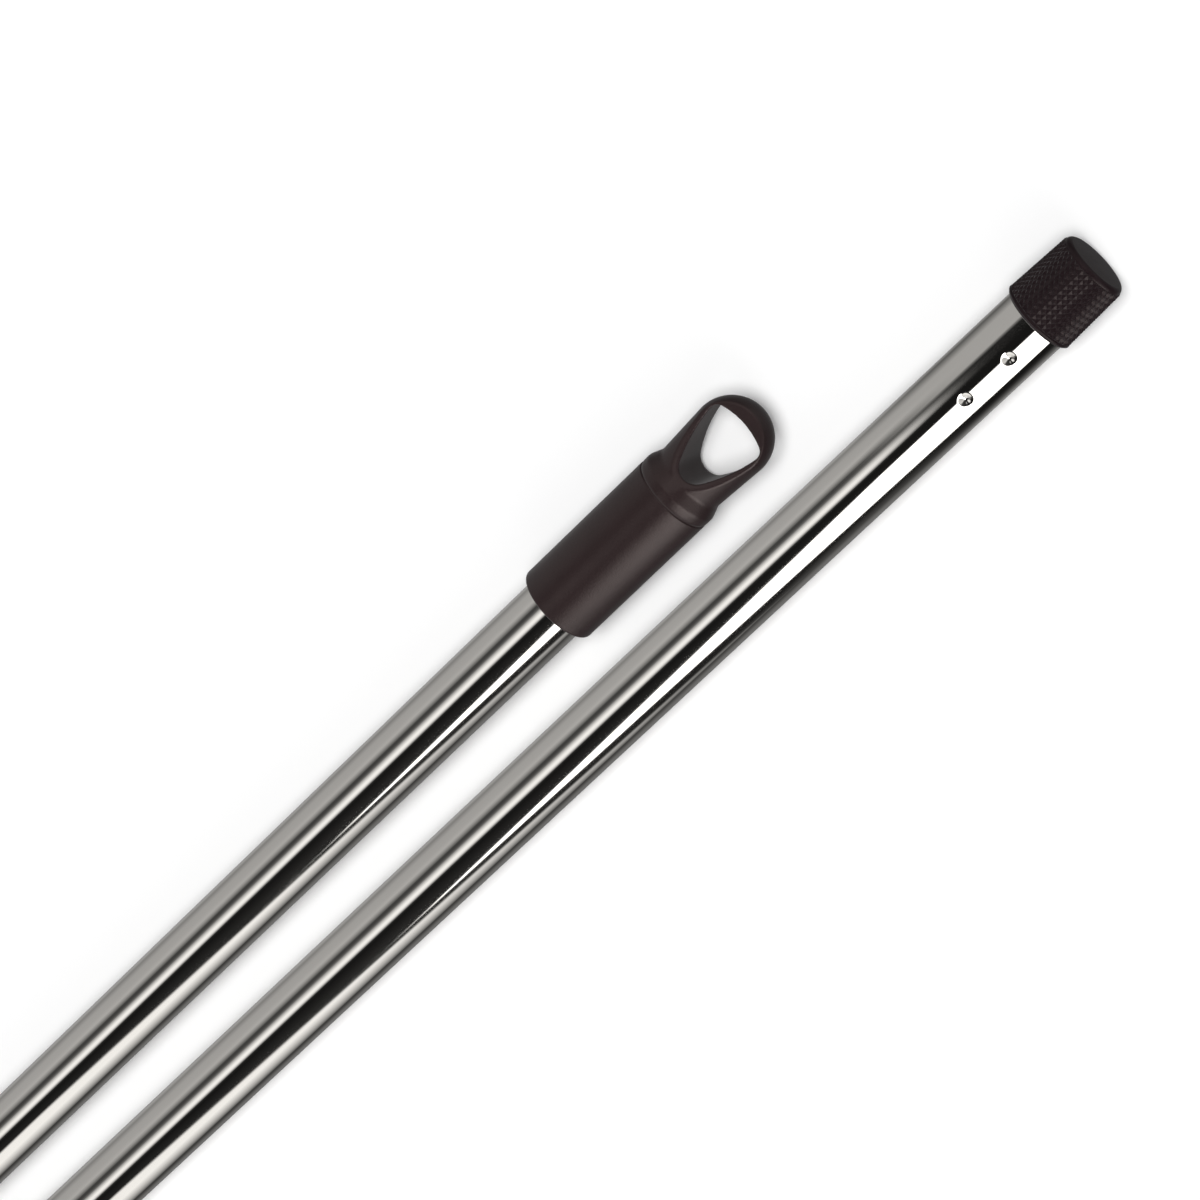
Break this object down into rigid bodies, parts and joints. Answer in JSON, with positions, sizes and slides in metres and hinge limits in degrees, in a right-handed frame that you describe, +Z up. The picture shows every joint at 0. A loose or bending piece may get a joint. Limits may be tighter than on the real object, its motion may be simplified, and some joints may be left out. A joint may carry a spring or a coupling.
{
  "type": "take-apart pole",
  "caption": "Chromed tube pole that comes apart in two sections, with a knurled tip for a tool, a hang cap with an eye, and a spigot coupling with a spring button.",
  "frame": {"origin": "on the ground below the middle of the pair of sections as they lie side by side", "axes": "+X along both sections towards the knurled tip and the hang cap, +Y from the head section to the butt section, +Z up"},
  "size_m": [0.7706, 0.0632, 0.0276],
  "materials": {
    "chromed_tube": "bright chrome plate",
    "black_moulding": "moulded, satin",
    "spring_steel": "rolled strip",
    "button_steel": "turned and polished"
  },
  "bodies": {
    "head_section": {"head_tube": "chromed_tube", "knurled_tip": "black_moulding", "coupling_spigot": "black_moulding", "button_spring": "spring_steel"},
    "snap_button": {"snap_button": "button_steel"},
    "butt_section": {"butt_tube": "chromed_tube", "hang_cap": "black_moulding", "socket_ferrule": "black_moulding"}
  },
  "joints": [
    {"name": "button_press", "type": "slide", "parent": "head_section", "child": "snap_button", "axis": [0, 0, -1], "range_m": [0, 0.0047], "stiffness_N_per_m": 500, "deforming": ["button_spring"]},
    {"name": "butt_section_lift", "type": "slide", "parent": "head_section", "child": "butt_section", "axis": [0, 0, 1], "range_m": [0, 0.12]}
  ]
}
